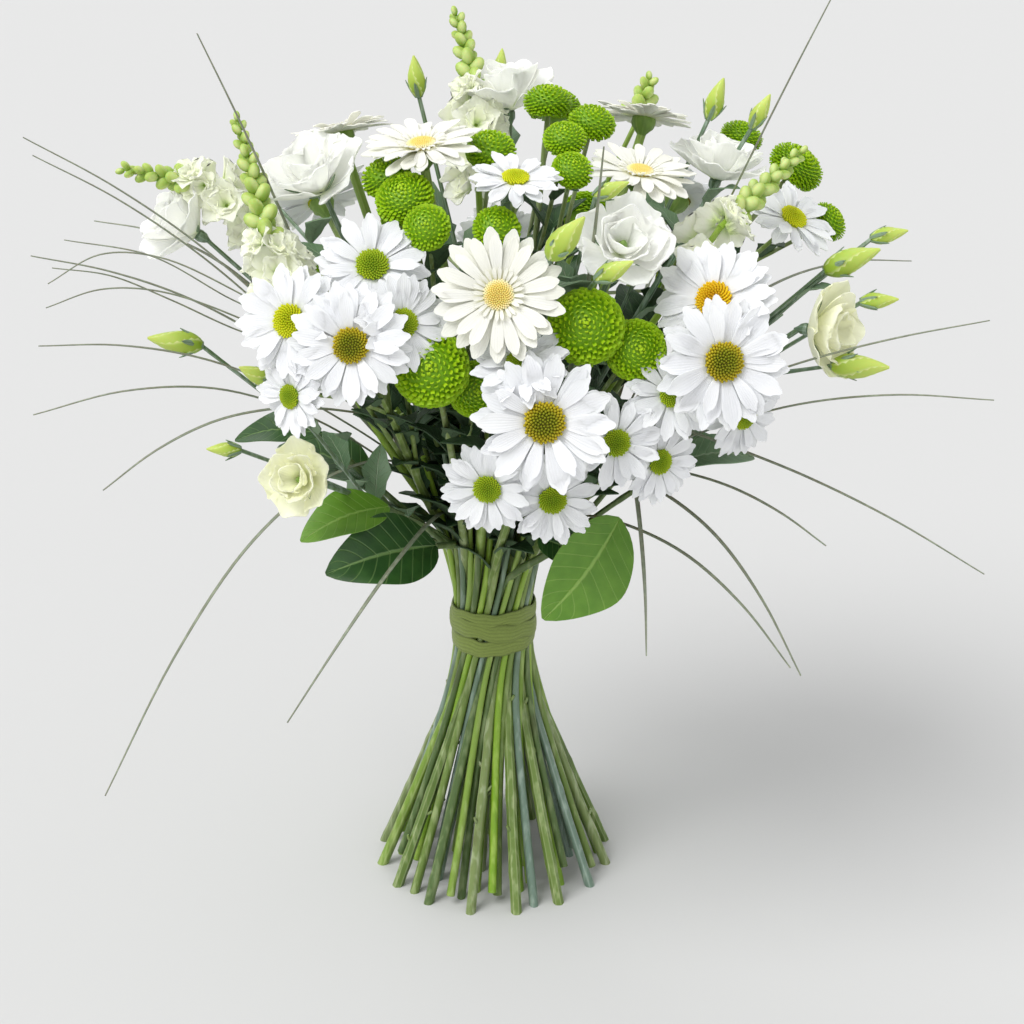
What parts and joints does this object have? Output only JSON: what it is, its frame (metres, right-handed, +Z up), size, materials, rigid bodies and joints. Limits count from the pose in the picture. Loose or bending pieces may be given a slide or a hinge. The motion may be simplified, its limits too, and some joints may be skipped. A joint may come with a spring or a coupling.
{
  "type": "bunch of daisies",
  "caption": "Hand-tied bunch of white daisies with green button blooms, buds, leaves and grass; its spiral of stems is tied with raffia and stands on its cut ends.",
  "frame": {"origin": "centre of the flat cut end of the middle stem, on the surface that the bunch stands on", "axes": "+Z up the middle stem towards the flowers; -Y is the front of the bunch, as pictured; +X is its right side"},
  "size_m": [0.4303, 0.3395, 0.4641],
  "materials": {
    "raffia": "matt, fibrous, in flat folded strips",
    "daisy_petal": "soft matt white, finely ribbed along the petal",
    "gerbera_petal": "soft matt cream",
    "lisianthus_petal": "thin, translucent cream, greener at its base",
    "gold_disc": "rough packed florets, olive in the middle and gold at the rim",
    "pale_disc": "rough packed pale-yellow florets",
    "daisy_green": "satin stem, fine length ribs",
    "gerbera_green": "satin stem, faintly downy",
    "pompom_green": "matt lime florets on a satin green stem",
    "lisianthus_green": "waxy pale-green buds on a satin stem",
    "snapdragon_green": "satin light green",
    "leaf_green": "glossy upper face, dull underside",
    "grass_green": "satin grey-green, finely ribbed along the blade"
  },
  "bodies": {
    "root": {"raffia_tie": "raffia", "daisy_spray_left": "daisy_green", "daisy_spray_front": "daisy_green", "daisy_spray_front_right": "daisy_green", "daisy_spray_right": "daisy_green", "daisy_spray_top": "daisy_green", "daisy_spray_back_right": "daisy_green", "daisy_spray_back_left": "daisy_green", "gerbera_stem_1": "gerbera_green", "gerbera_stem_2": "gerbera_green", "gerbera_stem_3": "gerbera_green", "gerbera_stem_4": "gerbera_green", "gerbera_stem_5": "gerbera_green", "pompom_spray_front_left": "pompom_green", "pompom_spray_front_right": "pompom_green", "pompom_spray_top": "pompom_green", "pompom_spray_top_left": "pompom_green", "pompom_spray_right": "pompom_green", "pompom_spray_back": "pompom_green", "lisianthus_left_low": "lisianthus_green", "lisianthus_left_high": "lisianthus_green", "lisianthus_top": "lisianthus_green", "lisianthus_middle": "lisianthus_green", "lisianthus_right_high": "lisianthus_green", "lisianthus_right_low": "lisianthus_green", "snapdragon_top": "snapdragon_green", "snapdragon_left": "snapdragon_green", "snapdragon_far_left": "snapdragon_green", "snapdragon_right": "snapdragon_green", "leafy_stem_left": "leaf_green", "leafy_stem_right": "leaf_green", "leafy_stem_back": "leaf_green", "bear_grass_left": "grass_green", "bear_grass_right": "grass_green", "daisy_disc_front_1": "gold_disc", "daisy_disc_right_1": "gold_disc", "gerbera_disc_1": "pale_disc", "gerbera_petals_1": "gerbera_petal", "gerbera_petals_2": "gerbera_petal", "gerbera_petals_3": "gerbera_petal", "gerbera_petals_4": "gerbera_petal", "gerbera_petals_5": "gerbera_petal", "daisy_petals_left_1": "daisy_petal", "daisy_petals_front_1": "daisy_petal", "daisy_petals_front_2": "daisy_petal", "daisy_petals_front_right_1": "daisy_petal", "daisy_petals_right_1": "daisy_petal", "daisy_petals_right_2": "daisy_petal", "daisy_petals_top_1": "daisy_petal", "daisy_petals_back_right_1": "daisy_petal", "daisy_petals_back_right_2": "daisy_petal", "daisy_petals_back_left_1": "daisy_petal", "daisy_petals_back_left_2": "daisy_petal", "lisianthus_flower_left_low_1": "lisianthus_petal", "lisianthus_flower_left_high_1": "lisianthus_petal", "lisianthus_flower_left_high_2": "lisianthus_petal", "lisianthus_flower_top_1": "lisianthus_petal", "lisianthus_flower_middle_1": "lisianthus_petal", "lisianthus_flower_right_high_1": "lisianthus_petal", "lisianthus_flower_right_low_1": "lisianthus_petal"}
  },
  "joints": []
}
